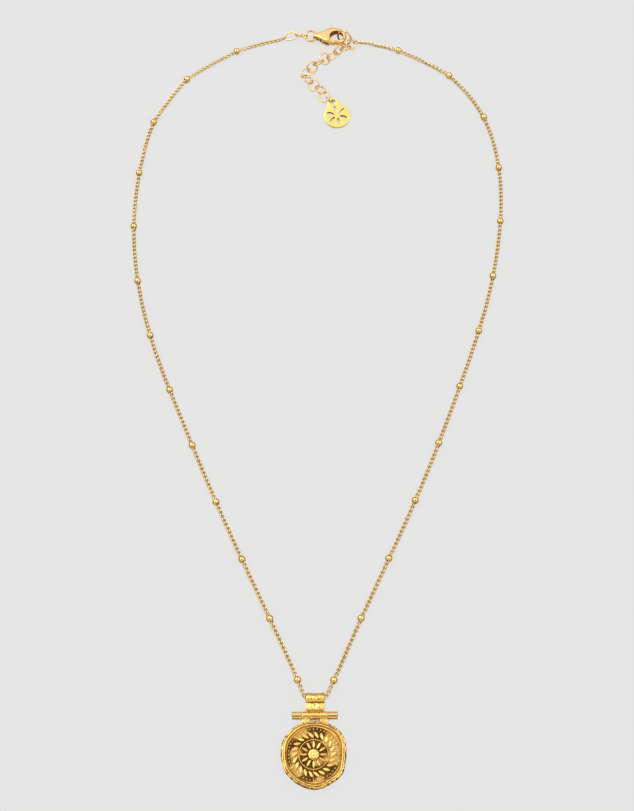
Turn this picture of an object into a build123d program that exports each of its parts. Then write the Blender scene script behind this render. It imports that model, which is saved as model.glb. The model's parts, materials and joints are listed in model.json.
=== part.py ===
from build123d import *
import os
from math import atan2, cos, degrees, hypot, pi, radians, sin, sqrt, tan

os.makedirs("parts", exist_ok=True)

# Fine chain necklace with evenly spaced beads and a hinged coin pendant, lying flat.
# Millimetres, +Z up. The origin is on the surface that it lies on, under the middle of
# the loop: +Y runs from the pendant to the clasp, +X is to the right seen from above.

# Chain
chain_width = 1.0
chain_end_loop_wire = 0.3
chain_end_loop_radius = 0.55
chain_end_loop_bite = 0.1
chain_left_loop_heading = 15
chain_right_loop_heading = 22
# Points of the chain's route, left end, down to the bail, through it and up to the right.
chain_route = [
    (-9.45, 99.0, 0.86), (-15.5, 97.7, 0.9), (-22.25, 95.0, 0.9), (-29.3, 90.95, 0.9),
    (-35.85, 86.1, 0.9), (-40.15, 79.65, 0.9), (-44.2, 72.6, 0.9), (-46.15, 64.4, 0.9),
    (-48.0, 50.2, 0.9), (-47.7, 34.1, 0.9), (-44.8, 18.0, 0.9), (-40.1, 2.9, 0.9),
    (-34.1, -11.7, 0.9), (-28.0, -26.6, 0.9), (-21.6, -41.3, 0.9), (-14.8, -55.8, 0.9),
    (-9.3, -67.5, 0.9), (-5.8, -75.1, 0.9), (-3.85, -79.7, 0.95), (-2.55, -83.03, 1.12),
    (-0.25, -83.12, 1.14), (2.1, -83.03, 1.12), (3.6, -79.75, 0.95), (5.65, -75.1, 0.9),
    (9.1, -67.2, 0.9), (14.25, -56.0, 0.9), (20.95, -41.8, 0.9), (27.45, -27.0, 0.9),
    (33.3, -11.8, 0.9), (38.8, 3.1, 0.9), (43.8, 18.35, 0.9), (47.2, 34.1, 0.9),
    (48.75, 50.0, 0.9), (47.8, 62.5, 0.9), (45.8, 70.95, 0.9), (41.85, 79.35, 0.9),
    (35.95, 86.55, 0.9), (28.9, 91.4, 0.9), (21.95, 94.75, 0.9), (17.0, 96.7, 0.9),
    (11.1, 97.38, 0.97),
]
chain_lowest = min(chain_route, key=lambda point: point[1])

# Beads, threaded on the chain at an equal pitch from each end down to the bail
beads_per_side = 13
bead_left_start = 13.1
bead_right_start = 11.8
bead_bail_distance = 6.96
bead_diameter = 1.78
bead_end_wall = 0.05
bead_clearance = 0.1

# Bail: a rolled tube that hangs from the chain's lowest point, over a band and a neck
bail_offset_x = 0.01
bail_seat = 0.18
bail_width = 4.3
bail_tube_radius = 1.2
bail_wall = 0.35
bail_mouth_flare_share = 0.7
bail_end_fillet = 0.2
bail_collar_height = 0.12
bail_collar_left = 1.5
bail_collar_right = 0.9
bail_bore_cover = 0.1
bail_band_height = 1.69
bail_band_thickness = 1.7
bail_band_fillet = 0.3
bail_band_lift = 0.1
bail_web_thickness = 1.0
bail_web_inset = 0.15
bail_neck_width = 2.1
bail_neck_thickness = 1.0
bail_rib_height = 0.3
bail_rib_thickness = 1.9
bail_rib_inset = 0.3
bail_x = chain_lowest[0] + bail_offset_x
bail_tube_y = chain_lowest[1] + bail_seat
bail_z = bail_tube_radius + bail_collar_height
bail_bore_radius = bail_tube_radius - bail_wall
bail_mouth_flare = bail_wall * bail_mouth_flare_share

# Hinge between the bail and the coin: its axis runs along X
hinge_offset_x = -0.09
hinge_drop = 3.89
hinge_x = bail_x + hinge_offset_x
hinge_y = bail_tube_y - hinge_drop
hinge_z = 1.0
knuckle_radius = 0.95
knuckle_length = 2.2
knuckle_gap = 0.1
lug_length = 1.7
lug_side_inset = 0.1
lug_plate_drop = 0.45
lug_flare = 0.35
pin_radius = 0.4
pin_running_clearance = 0.05
pin_seat_clearance = 0.02
knob_radius = 0.9
knob_length = 2.3
knob_gap = 0.1
knob_chamfer = 0.12

# Coin
coin_radius = 7.6
coin_offset_x = -0.25
coin_drop = 8.94
# Radius of the hand-cut outline, as shares of the coin's radius, each 15 degrees from +X
coin_outline_shares = [
    0.975, 1.005, 1.045, 1.05, 1.03, 1.01, 1.0, 1.0, 1.01, 1.005, 1.02, 1.0,
    0.985, 0.98, 0.995, 0.98, 0.985, 1.0, 1.02, 1.015, 0.995, 1.015, 1.025, 0.98,
]
coin_thickness = 1.95
coin_rim_width = 0.95
coin_rim_step = 0.4
coin_edge_fillet = 0.3
coin_relief_height = 0.28
relief_root = 0.1
relief_boss_radius = 1.25
ray_count = 12
ray_length = 1.5
ray_width = 0.5
ray_gap = 0.25
wreath_ring_radius = 3.35
wreath_ring_width = 0.22
leaf_count = 22
leaf_length = 1.55
leaf_width = 0.62
leaf_slant = 38
leaf_start_share = 0.72
border_dot_count = 44
border_dot_radius = 0.17
border_inset = 0.5

# How far a cutting shape reaches past the metal
overcut = 1.0

# Rings and links: outer size and wire
link_outer = 3.4
link_wire = 0.4
end_link_length = 4.15
end_link_width = 2.6
joining_ring_outer = 3.7
clasp_ring_outer = 3.55
clasp_ring_wire = 0.5
catch_ring_outer = 4.5
catch_ring_wire = 0.5
chain_end_ring_outer = 3.1
tag_ring_outer = 2.6

# Each ring lies one step from the piece before it. Heading of its long way in the plane,
# roll about it, pitch along it, height of its lowest point over the surface (degrees, mm).
left_rings = {
    "end_link": dict(dx=1.86, dy=0.22, heading=0, roll=9, pitch=16, lift=0.63),
    "joining_ring": dict(dx=2.94, dy=-0.04, heading=-7, roll=119, pitch=0, lift=0.02),
    "clasp_ring": dict(dx=2.61, dy=-0.11, heading=-1, roll=6, pitch=0, lift=1.05),
}
right_rings = {
    "chain_end_ring": dict(dx=-1.1, dy=-0.78, heading=-54, roll=0, pitch=-23, lift=0.25),
    "catch_ring": dict(dx=-1.75, dy=1.4, heading=-30, roll=69, pitch=0, lift=0.02),
}
extender_links = [
    dict(dx=0.2, dy=-2.85, heading=21, roll=-38, pitch=0, lift=0.09),
    dict(dx=-1.8, dy=-0.85, heading=36, roll=81, pitch=0, lift=0.02),
    dict(dx=-1.8, dy=-1.3, heading=57, roll=-30, pitch=0, lift=0.02),
    dict(dx=-2.05, dy=-0.85, heading=54, roll=27, pitch=0, lift=0.02),
    dict(dx=-1.7, dy=-1.55, heading=31, roll=-44, pitch=0, lift=0.02),
    dict(dx=-1.7, dy=-1.55, heading=38, roll=54, pitch=0, lift=0.02),
    dict(dx=-1.75, dy=-1.45, heading=-86, roll=25, pitch=0, lift=0.02),
    dict(dx=0.6, dy=-2.25, heading=-59, roll=-39, pitch=0, lift=0.02),
    dict(dx=1.65, dy=-1.65, heading=-46, roll=31, pitch=0, lift=0.02),
    dict(dx=1.8, dy=-1.55, heading=-49, roll=-29, pitch=0, lift=0.02),
    dict(dx=1.1, dy=-2.05, heading=-49, roll=28, pitch=0, lift=0.02),
]
tag_ring_place = dict(dx=1.32, dy=-1.39, heading=-41, roll=-64, pitch=0, lift=0.02)

# Clasp: lobster shape in its own plane, u from the tail to the hook, v across
clasp_tail_dx = 0.6
clasp_tail_dy = -0.05
clasp_height = 1.45
clasp_angle = -5.5
clasp_hook_centre = 6.4
clasp_hook_radius = 2.72
clasp_hook_low = 2.05
clasp_opening_centre = 6.45
clasp_opening_v = 0.25
clasp_opening_half_length = 1.85
clasp_opening_half_width = 1.45
clasp_tail_half_width = 0.62
clasp_thickness = 2.4
clasp_tail_thickness = 2.0
clasp_hook_thickness = 1.35
clasp_edge_fillet = 0.5
clasp_eye_radius = 0.65
clasp_eye_inset = 0.9
clasp_slot = 1.0
lever_clearance = 0.1
lever_pivot_u = 2.9
lever_pivot_v = -0.6
lever_hub_radius = 0.85
lever_gate_thickness = 1.4
lever_knob_u = 4.78
lever_knob_v = 3.2
lever_knob_radius = 0.38
rivet_radius = 0.35
rivet_seat_clearance = 0.02
rivet_running_clearance = 0.06

# Outline between tail and hook, as shares of the hook's distance and of its radius
upper_taper = [(0.27, 0.38), (0.48, 0.60), (0.68, 0.86)]
lower_taper = [(0.78, -0.79), (0.56, -0.70), (0.34, -0.45)]
# Half thickness along the clasp, as shares of its length and of its thickness
side_taper = [(0.28, 0.47), (0.42, 0.50), (0.58, 0.44), (0.80, 0.32)]
# Corners (u, v) of the mouth's far side, of the lever's slot, the lever and its gate
mouth_corners = [(4.65, -2.8), (6.1, -2.8), (6.56, -1.2)]
slot_corners = [
    (1.95, -1.3), (1.75, 1.3), (1.75, 3.6), (5.2, 3.6), (4.95, 1.9), (4.3, 0.6),
    (5.2, 0.1), (5.3, -0.6), (5.3, -2.8), (3.4, -2.8), (2.1, -1.5),
]
lever_corners = [
    (2.35, 0.1), (4.42, 3.3), (5.1, 3.0), (3.8, 0.0),
    (4.5, -0.95), (6.4, -1.3), (6.15, -2.05), (4.5, -1.95), (2.75, -1.35),
]
gate_corners = [(5.0, -1.05), (6.4, -1.3), (6.15, -2.05), (4.9, -2.0)]

# Tag: its eye lies one step from the tag's ring, its middle one step from the eye
tag_eye_dx = 0.93
tag_eye_dy = -0.86
tag_middle_dx = 1.05
tag_middle_dy = -3.85
tag_radius = 3.5
tag_neck_radius = 2.8
tag_thickness = 0.7
tag_eye_radius = 0.75
tag_ear_wall = 0.6
tag_tilt = 6.5
tag_petal_count = 6
tag_petal_length = 2.0
tag_petal_width = 0.75
tag_petal_centre = 1.8


def finish(part, name):
    """Label one finished piece and write it."""
    part.label = name
    export_step(part, f"parts/{name}.step")


def route_radii(points):
    """Bend radius at each inner point: 0.45 of the shorter run over tan(half the turn)."""
    radii = []
    for before, here, after in zip(points, points[1:], points[2:]):
        run_in = Vector(here) - Vector(before)
        run_out = Vector(after) - Vector(here)
        half_turn = radians(run_in.get_angle(run_out)) / 2
        radii.append(0.45 * min(run_in.length, run_out.length) / tan(half_turn))
    return radii


def ring_plane(heading, roll, pitch, x, y, lift, radius, wire):
    """Plane of a ring or link whose lowest point lies at the given height."""
    long_way = Vector(
        cos(radians(heading)) * cos(radians(pitch)),
        sin(radians(heading)) * cos(radians(pitch)),
        sin(radians(pitch)),
    )
    level = Vector(-sin(radians(heading)), cos(radians(heading)), 0)
    above = long_way.cross(level)
    short_way = level * cos(radians(roll)) + above * sin(radians(roll))
    reach = hypot(long_way.Z, short_way.Z) * radius
    return Plane(
        origin=(x, y, lift + reach + wire / 2),
        x_dir=long_way,
        z_dir=long_way.cross(short_way),
    )


def stepped(before, place):
    """Place of a piece, x and y counted from the centre of the piece before it."""
    here = {key: place[key] for key in ("heading", "roll", "pitch", "lift")}
    return dict(x=before.X + place["dx"], y=before.Y + place["dy"], **here)


def ring(name, before, place, outer, wire):
    """Round ring of round wire, one step from the piece before it; gives its centre."""
    radius = (outer - wire) / 2
    plane = ring_plane(**stepped(before, place), radius=radius, wire=wire)
    with BuildPart(plane) as piece:
        Torus(radius, wire / 2)
    finish(piece.part, name)
    return plane.origin


# The chain's path: straight runs joined by tangent arcs
bend_radii = route_radii(chain_route)
print("chain bend radii:", [round(r, 1) for r in bend_radii])
with BuildLine() as chain_line:
    FilletPolyline(chain_route, radius=bend_radii)
chain_path = chain_line.wire()
chain_length = chain_path.length

# Chain: a plain tube of its width, with a small loop at each end
with BuildPart() as chain:
    start = chain_path.position_at(0)
    start_dir = chain_path.tangent_at(0)
    with BuildSketch(Plane(origin=start, z_dir=start_dir)):
        Circle(chain_width / 2)
    sweep(path=chain_path)
    tube_volume = chain.part.volume
    end = chain_path.position_at(1)
    end_dir = chain_path.tangent_at(1)
    loop_centres = []
    for tip, outward, loop_heading in (
        (start, start_dir * -1, chain_left_loop_heading),
        (end, end_dir, chain_right_loop_heading),
    ):
        level_out = Vector(outward.X, outward.Y, 0).normalized()
        loop_way = Vector(cos(radians(loop_heading)), sin(radians(loop_heading)), 0)
        loop_depth = chain_end_loop_radius * abs(loop_way.dot(level_out))
        loop_reach = loop_depth + chain_end_loop_wire / 2 - chain_end_loop_bite
        loop_centre = tip + level_out * loop_reach
        loop_centres.append(loop_centre)
        upright = Plane(
            origin=loop_centre,
            x_dir=loop_way,
            z_dir=loop_way.cross(Vector(0, 0, 1)),
        )
        with Locations(upright.location):
            Torus(chain_end_loop_radius, chain_end_loop_wire / 2)
section = pi * (chain_width / 2) ** 2
print("chain length", round(chain_length, 1), "tube volume over section times length",
      round(tube_volume / (section * chain_length), 5))
finish(chain.part, "chain")

# Beads: balls drilled for the chain and flat round the hole
bead_hole_radius = chain_width / 2 + bead_clearance
bead_end_radius = bead_hole_radius + bead_end_wall
bead_half_length = sqrt((bead_diameter / 2) ** 2 - bead_end_radius**2)
bail_point = chain_path.closest_points(Vertex(*chain_lowest))[0]
bail_along = chain_path.param_at_point(bail_point) * chain_length
left_pitch = (bail_along - bead_left_start - bead_bail_distance) / (beads_per_side - 1)
right_end = chain_length - bead_right_start
right_pitch = (right_end - bail_along - bead_bail_distance) / (beads_per_side - 1)
print("bail along the chain", round(bail_along, 2), "bead pitch", round(left_pitch, 3),
      round(right_pitch, 3))
bead_places = [bead_left_start + left_pitch * number for number in range(beads_per_side)]
bead_places += [right_end - right_pitch * number for number in reversed(range(beads_per_side))]
for number, along in enumerate(bead_places, start=1):
    place = chain_path.position_at(along, position_mode=PositionMode.LENGTH)
    heading = chain_path.tangent_at(along, position_mode=PositionMode.LENGTH)
    across = Vector(0, 0, 1).cross(heading).normalized()
    with BuildPart() as bead:
        with BuildSketch(Plane(origin=place, x_dir=heading, z_dir=heading.cross(across))):
            with BuildLine():
                half = bead_half_length
                hole_line = Line((half, bead_hole_radius), (-half, bead_hole_radius))
                Line(hole_line @ 1, (-half, bead_end_radius))
                bulge = ThreePointArc(
                    (-half, bead_end_radius), (0, bead_diameter / 2), (half, bead_end_radius),
                )
                Line(bulge @ 1, hole_line @ 0)
            make_face()
        revolve(axis=Axis(place, heading))
    finish(bead.part, f"bead_{number:02d}")

# Bail: tube with end collars, band, neck and the middle knuckle of the hinge
bail_left = bail_x - bail_width / 2
bail_right = bail_x + bail_width / 2
band_top = bail_tube_y - bail_bore_radius - bail_bore_cover
band_bottom = band_top - bail_band_height
with BuildPart() as bail:
    with BuildSketch(Plane.YZ.offset(bail_left)):
        with Locations((bail_tube_y, bail_z)):
            Circle(bail_tube_radius)
    extrude(amount=bail_width)
    for collar_start, collar_width in (
        (bail_left, bail_collar_left),
        (bail_right - bail_collar_right, bail_collar_right),
    ):
        with BuildSketch(Plane.YZ.offset(collar_start)):
            with Locations((bail_tube_y, bail_z)):
                Circle(bail_tube_radius + bail_collar_height)
        extrude(amount=collar_width)
    fillet(bail.edges().filter_by(GeomType.CIRCLE).group_by(Axis.X)[0], bail_end_fillet)
    fillet(bail.edges().filter_by(GeomType.CIRCLE).group_by(Axis.X)[-1], bail_end_fillet)
    with BuildSketch(Plane.YZ.offset(bail_left)):
        with Locations(((band_top + band_bottom) / 2, hinge_z + bail_band_lift)):
            RectangleRounded(bail_band_height, bail_band_thickness, bail_band_fillet)
    extrude(amount=bail_width)
    with BuildSketch(Plane.YZ.offset(bail_left + bail_rib_inset)):
        with Locations((band_bottom, hinge_z + bail_band_lift)):
            Rectangle(bail_rib_height, bail_rib_thickness)
    extrude(amount=bail_width - 2 * bail_rib_inset)
    with BuildSketch(Plane.YZ.offset(bail_left + bail_web_inset)):
        with Locations(((bail_tube_y + band_top) / 2, hinge_z)):
            Rectangle(hinge_drop / 2, bail_web_thickness)
    extrude(amount=bail_width - 2 * bail_web_inset)
    with BuildSketch(Plane.YZ.offset(hinge_x - bail_neck_width / 2)):
        with Locations(((band_bottom + hinge_y) / 2, hinge_z)):
            Rectangle(band_bottom - hinge_y, bail_neck_thickness)
    extrude(amount=bail_neck_width)
    with BuildSketch(Plane.YZ.offset(hinge_x - knuckle_length / 2)):
        with Locations((hinge_y, hinge_z)):
            Circle(knuckle_radius)
    extrude(amount=knuckle_length)
    with BuildSketch(Plane.YZ.offset(bail_left - overcut)):
        with Locations((bail_tube_y, bail_z)):
            Circle(bail_bore_radius)
    extrude(amount=bail_width + 2 * overcut, mode=Mode.SUBTRACT)
    mouths = bail.edges().filter_by(GeomType.CIRCLE).filter_by(
        lambda e: abs(e.radius - bail_bore_radius) < 0.01
    )
    fillet(mouths, bail_mouth_flare)
    with BuildSketch(Plane.YZ.offset(hinge_x - knuckle_length)):
        with Locations((hinge_y, hinge_z)):
            Circle(pin_radius + pin_seat_clearance)
    extrude(amount=2 * knuckle_length, mode=Mode.SUBTRACT)
finish(bail.part, "bail")

# Hinge pin with a drum knob at each end
lug_reach = knuckle_length / 2 + knuckle_gap + lug_length
pin_reach = lug_reach + knob_gap + knob_length
with BuildPart() as hinge_pin:
    with BuildSketch(Plane.YZ.offset(hinge_x - pin_reach)):
        with Locations((hinge_y, hinge_z)):
            Circle(pin_radius)
    extrude(amount=2 * pin_reach)
    for knob_start in (hinge_x - pin_reach, hinge_x + pin_reach - knob_length):
        with BuildSketch(Plane.YZ.offset(knob_start)):
            with Locations((hinge_y, hinge_z)):
                Circle(knob_radius)
        extrude(amount=knob_length)
    knob_rims = (
        hinge_pin.edges()
        .filter_by(GeomType.CIRCLE)
        .filter_by(lambda e: abs(e.radius - knob_radius) < 0.01)
    )
    chamfer(knob_rims, knob_chamfer)
finish(hinge_pin.part, "hinge_pin")

# Coin: disc with a raised rim, cast relief and the two outer lugs of the hinge
coin_x = hinge_x + coin_offset_x
coin_y = hinge_y - coin_drop
field_height = coin_thickness - coin_rim_step
lug_root = coin_drop - coin_radius


def coin_outline(inset):
    """Outline of the hand-cut disc, drawn in by inset."""
    points = []
    for step, share in enumerate(coin_outline_shares):
        a = radians(360 * step / len(coin_outline_shares))
        reach = share * coin_radius - inset
        points.append((reach * cos(a), reach * sin(a)))
    return points


with BuildPart() as coin:
    with BuildSketch(Plane((coin_x, coin_y, 0))):
        with BuildLine():
            Spline(coin_outline(0), periodic=True)
        make_face()
    extrude(amount=coin_thickness)
    fillet(coin.faces().sort_by(Axis.Z)[-1].edges(), coin_edge_fillet)
    with BuildSketch(Plane((coin_x, coin_y, field_height))):
        with BuildLine():
            Spline(coin_outline(coin_rim_width), periodic=True)
        make_face()
    extrude(amount=coin_rim_step + overcut, mode=Mode.SUBTRACT)
    with BuildSketch(Plane((coin_x, coin_y, field_height - relief_root))):
        Circle(relief_boss_radius)
        with PolarLocations(relief_boss_radius + ray_gap + ray_length / 2, ray_count):
            Rectangle(ray_length, ray_width)
        with BuildSketch(mode=Mode.PRIVATE) as wreath_ring:
            Circle(wreath_ring_radius + wreath_ring_width / 2)
            Circle(wreath_ring_radius - wreath_ring_width / 2, mode=Mode.SUBTRACT)
        add(wreath_ring.sketch)
        with PolarLocations(wreath_ring_radius + leaf_length * leaf_start_share, leaf_count):
            Ellipse(leaf_length / 2, leaf_width / 2, rotation=leaf_slant)
        with PolarLocations(coin_radius - coin_rim_width - border_inset, border_dot_count):
            Circle(border_dot_radius)
    extrude(amount=coin_relief_height + relief_root)
    lug_bottom = hinge_z - knuckle_radius + lug_side_inset
    lug_top = hinge_z + knuckle_radius - lug_plate_drop
    flare_start = hinge_y - knuckle_radius - knuckle_gap
    lug_end = hinge_y - lug_root - coin_rim_width
    for side in (-1, 1):
        outer_face = hinge_x + side * lug_reach
        inner_face = hinge_x + side * (lug_reach - lug_length)
        with BuildSketch(Plane.YZ.offset(min(outer_face, inner_face))):
            with Locations((hinge_y, hinge_z)):
                Circle(knuckle_radius)
        extrude(amount=lug_length)
        with BuildSketch(Plane.XY.offset(lug_bottom)):
            with BuildLine():
                Polyline(
                    (inner_face, hinge_y), (outer_face, hinge_y), (outer_face, flare_start),
                    (outer_face + side * lug_flare, lug_end), (inner_face, lug_end),
                    close=True,
                )
            make_face()
        extrude(amount=lug_top - lug_bottom)
    with BuildSketch(Plane.YZ.offset(hinge_x - pin_reach)):
        with Locations((hinge_y, hinge_z)):
            Circle(pin_radius + pin_running_clearance)
    extrude(amount=2 * pin_reach, mode=Mode.SUBTRACT)
    with BuildSketch(Plane.YZ.offset(hinge_x - knuckle_length / 2 - knuckle_gap)):
        with Locations((hinge_y, hinge_z)):
            Circle(knuckle_radius + 3 * knuckle_gap)
    extrude(amount=knuckle_length + 2 * knuckle_gap, mode=Mode.SUBTRACT)
finish(coin.part, "coin")

# Rings at the left end of the chain, up to the clasp
end_link_plane = ring_plane(
    **stepped(loop_centres[0], left_rings["end_link"]),
    radius=(end_link_length - link_wire) / 2, wire=link_wire,
)
with BuildSketch(end_link_plane) as end_link_outline:
    Ellipse((end_link_length - link_wire) / 2, (end_link_width - link_wire) / 2)
end_link_route = end_link_outline.sketch.wires()[0]
end_link_start = Plane(
    origin=end_link_route.position_at(0),
    z_dir=end_link_route.tangent_at(0),
)
with BuildPart() as end_link:
    with BuildSketch(end_link_start):
        Circle(link_wire / 2)
    sweep(path=end_link_route)
finish(end_link.part, "end_link")
last = ring("joining_ring", end_link_plane.origin, left_rings["joining_ring"],
            joining_ring_outer, link_wire)
clasp_ring_centre = ring("clasp_ring", last, left_rings["clasp_ring"],
                         clasp_ring_outer, clasp_ring_wire)

# Rings at its right end, the extender's links and the tag's ring
last = ring("chain_end_ring", loop_centres[1], right_rings["chain_end_ring"],
            chain_end_ring_outer, link_wire)
last = ring("catch_ring", last, right_rings["catch_ring"], catch_ring_outer, catch_ring_wire)
for number, place in enumerate(extender_links, start=1):
    last = ring(f"extender_link_{number:02d}", last, place, link_outer, link_wire)
tag_ring_centre = ring("tag_ring", last, tag_ring_place, tag_ring_outer, link_wire)

# Clasp, drawn in its own plane
clasp_plane = Plane(
    origin=(clasp_ring_centre.X + clasp_tail_dx, clasp_ring_centre.Y + clasp_tail_dy,
            clasp_height),
    x_dir=(cos(radians(clasp_angle)), sin(radians(clasp_angle)), 0),
    z_dir=(0, 0, 1),
)


def shares(table, along, across):
    return [(a * along, b * across) for a, b in table]


clasp_end = clasp_hook_centre + clasp_hook_radius
with BuildPart() as clasp_body:
    with BuildSketch(clasp_plane.offset(-clasp_thickness / 2)):
        with BuildLine():
            upper = Spline(
                (0, clasp_tail_half_width),
                *shares(upper_taper, clasp_hook_centre, clasp_hook_radius),
                (clasp_hook_centre, clasp_hook_radius), tangents=[(1, 0.1), (1, 0.13)],
            )
            ThreePointArc(
                upper @ 1,
                (clasp_end, (clasp_hook_radius - clasp_hook_low) / 2),
                (clasp_hook_centre, -clasp_hook_low),
            )
            lower = Spline(
                (clasp_hook_centre, -clasp_hook_low),
                *shares(lower_taper, clasp_hook_centre, clasp_hook_radius),
                (0, -clasp_tail_half_width), tangents=[(-1, 0.13), (-1, 0.1)],
            )
            Line(lower @ 1, upper @ 0)
        make_face()
    extrude(amount=clasp_thickness)
    side_plane = Plane(
        origin=clasp_plane.origin - clasp_plane.y_dir * (2 * clasp_hook_radius),
        x_dir=clasp_plane.x_dir,
        z_dir=clasp_plane.y_dir,
    )
    with BuildSketch(side_plane):
        with BuildLine():
            profile = shares(side_taper, clasp_end, clasp_thickness)
            top_edge = Spline(
                (-overcut / 2, clasp_tail_thickness / 2), *profile,
                (clasp_end + overcut / 2, clasp_hook_thickness / 2),
            )
            bottom_edge = Spline(
                (clasp_end + overcut / 2, -clasp_hook_thickness / 2),
                *[(along, -half) for along, half in reversed(profile)],
                (-overcut / 2, -clasp_tail_thickness / 2),
            )
            Line(top_edge @ 1, bottom_edge @ 0)
            Line(bottom_edge @ 1, top_edge @ 0)
        make_face()
    extrude(amount=4 * clasp_hook_radius, mode=Mode.INTERSECT)
    clasp_faces = clasp_body.faces().sort_by(Axis.Z)
    fillet(clasp_faces[-1].edges() + clasp_faces[0].edges(), clasp_edge_fillet)
    # opening of the hook, its mouth and the lever's slot
    with BuildSketch(clasp_plane.offset(-clasp_thickness)):
        with Locations((clasp_opening_centre, clasp_opening_v)):
            Ellipse(clasp_opening_half_length, clasp_opening_half_width)
        with BuildLine():
            Polyline(
                (clasp_opening_centre - clasp_opening_half_length, clasp_opening_v),
                *mouth_corners,
                (mouth_corners[-1][0], clasp_opening_v),
                close=True,
            )
        make_face()
    extrude(amount=2 * clasp_thickness, mode=Mode.SUBTRACT)
    with BuildSketch(clasp_plane.offset(-clasp_slot / 2)):
        with BuildLine():
            Polyline(*slot_corners, close=True)
        make_face()
    extrude(amount=clasp_slot, mode=Mode.SUBTRACT)
    with BuildSketch(clasp_plane.offset(-clasp_thickness)):
        with Locations((lever_pivot_u, lever_pivot_v)):
            Circle(rivet_radius + rivet_seat_clearance)
    extrude(amount=2 * clasp_thickness, mode=Mode.SUBTRACT)
    # eye of the tail, across the clasp
    with BuildSketch(side_plane):
        with Locations((clasp_eye_inset, 0)):
            Circle(clasp_eye_radius)
    extrude(amount=4 * clasp_hook_radius, mode=Mode.SUBTRACT)
finish(clasp_body.part, "clasp_body")

# Lever: hub, thumb arm with its knob, and the gate that closes the hook
lever_thickness = clasp_slot - 2 * lever_clearance
with BuildPart() as clasp_lever:
    with BuildSketch(clasp_plane.offset(-lever_thickness / 2)):
        with Locations((lever_pivot_u, lever_pivot_v)):
            Circle(lever_hub_radius)
        with BuildLine():
            Polyline(*lever_corners, close=True)
        make_face()
        with Locations((lever_knob_u, lever_knob_v)):
            Circle(lever_knob_radius)
    extrude(amount=lever_thickness)
    with BuildSketch(clasp_plane.offset(-lever_gate_thickness / 2)):
        with BuildLine():
            Polyline(*gate_corners, close=True)
        make_face()
    extrude(amount=lever_gate_thickness)
    with BuildSketch(clasp_plane.offset(-clasp_thickness)):
        with Locations((lever_pivot_u, lever_pivot_v)):
            Circle(rivet_radius + rivet_running_clearance)
    extrude(amount=2 * clasp_thickness, mode=Mode.SUBTRACT)
finish(clasp_lever.part, "clasp_lever")

with BuildPart() as clasp_rivet:
    with BuildSketch(clasp_plane.offset(-clasp_thickness / 2)):
        with Locations((lever_pivot_u, lever_pivot_v)):
            Circle(rivet_radius)
    extrude(amount=clasp_thickness)
finish(clasp_rivet.part, "clasp_rivet")

# Tag: round plate with an ear, tilted where the ring lifts its ear
tag_x = tag_ring_centre.X + tag_eye_dx + tag_middle_dx
tag_y = tag_ring_centre.Y + tag_eye_dy + tag_middle_dy
ear_angle = degrees(atan2(-tag_middle_dy, -tag_middle_dx))
ear_distance = hypot(tag_middle_dx, tag_middle_dy)
tag_rise = tag_radius * sin(radians(tag_tilt))
tag_plane = Plane(
    origin=(tag_x, tag_y, tag_rise + tag_thickness / 2),
    x_dir=(cos(radians(ear_angle)) * cos(radians(tag_tilt)),
           sin(radians(ear_angle)) * cos(radians(tag_tilt)), sin(radians(tag_tilt))),
    z_dir=(-cos(radians(ear_angle)) * sin(radians(tag_tilt)),
           -sin(radians(ear_angle)) * sin(radians(tag_tilt)), cos(radians(tag_tilt))),
)
with BuildPart() as tag:
    with BuildSketch(tag_plane.offset(-tag_thickness / 2)):
        with BuildSketch(mode=Mode.PRIVATE) as rounds:
            Circle(tag_neck_radius)
            with Locations((ear_distance, 0)):
                Circle(tag_eye_radius + tag_ear_wall)
        Circle(tag_radius)
        add(make_hull(rounds.sketch.edges(), mode=Mode.PRIVATE))
        with Locations((ear_distance, 0)):
            Circle(tag_eye_radius, mode=Mode.SUBTRACT)
        with PolarLocations(tag_petal_centre, tag_petal_count):
            Ellipse(tag_petal_length / 2, tag_petal_width / 2, mode=Mode.SUBTRACT)
    extrude(amount=tag_thickness)
finish(tag.part, "tag")
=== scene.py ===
import json
from math import asin, cos, pi, radians, sin, tau

import bmesh
import bpy
import numpy as np
from mathutils import Matrix, Vector, noise


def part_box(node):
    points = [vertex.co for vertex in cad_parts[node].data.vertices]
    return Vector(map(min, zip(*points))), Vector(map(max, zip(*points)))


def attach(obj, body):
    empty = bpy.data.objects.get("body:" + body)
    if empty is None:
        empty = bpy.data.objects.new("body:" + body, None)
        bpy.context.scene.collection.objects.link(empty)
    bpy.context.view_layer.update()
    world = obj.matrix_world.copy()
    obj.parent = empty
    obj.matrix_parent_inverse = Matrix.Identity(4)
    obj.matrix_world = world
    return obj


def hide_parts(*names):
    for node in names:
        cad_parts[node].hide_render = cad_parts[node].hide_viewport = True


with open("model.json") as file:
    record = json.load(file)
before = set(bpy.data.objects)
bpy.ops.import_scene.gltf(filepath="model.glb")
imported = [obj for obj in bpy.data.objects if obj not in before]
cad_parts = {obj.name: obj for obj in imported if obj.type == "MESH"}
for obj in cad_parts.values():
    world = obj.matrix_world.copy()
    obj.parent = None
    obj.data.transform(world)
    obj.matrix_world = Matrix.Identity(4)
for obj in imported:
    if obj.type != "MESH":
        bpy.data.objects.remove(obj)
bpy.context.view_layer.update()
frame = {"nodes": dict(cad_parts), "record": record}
nodes = frame["nodes"]

MM = 0.001

# Camera: the photograph's place and lens
PHOTO_HEIGHT = 811
FOCAL_PIXELS = 1552
SENSOR = 36.0
CAMERA_PLACE = (0.01003, -0.15339, 0.35926)
CAMERA_TURN_X = radians(21.82)
CAMERA_TURN_Y = radians(1.575)

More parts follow.
